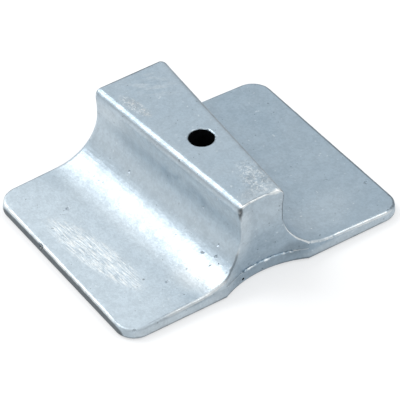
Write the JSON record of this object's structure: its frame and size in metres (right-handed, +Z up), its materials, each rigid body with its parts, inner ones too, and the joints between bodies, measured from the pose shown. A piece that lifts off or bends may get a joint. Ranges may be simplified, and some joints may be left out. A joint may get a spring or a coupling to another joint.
{
  "type": "sacrificial anode",
  "caption": "Cast zinc block anode: a thin rectangular base plate with a tapered, hollow-sided block along its middle, and one bolt hole down through the block.",
  "frame": {"origin": "on the axis of the bolt hole, at the flat underside", "axes": "+X across the two wings, +Y towards the wide end of the block, +Z up along the bolt hole, away from the surface the anode is bolted to"},
  "size_m": [0.1054, 0.0785, 0.031],
  "materials": {
    "zinc": "satin as-cast zinc"
  },
  "bodies": {
    "root": {"anode_casting": "zinc"}
  },
  "joints": []
}
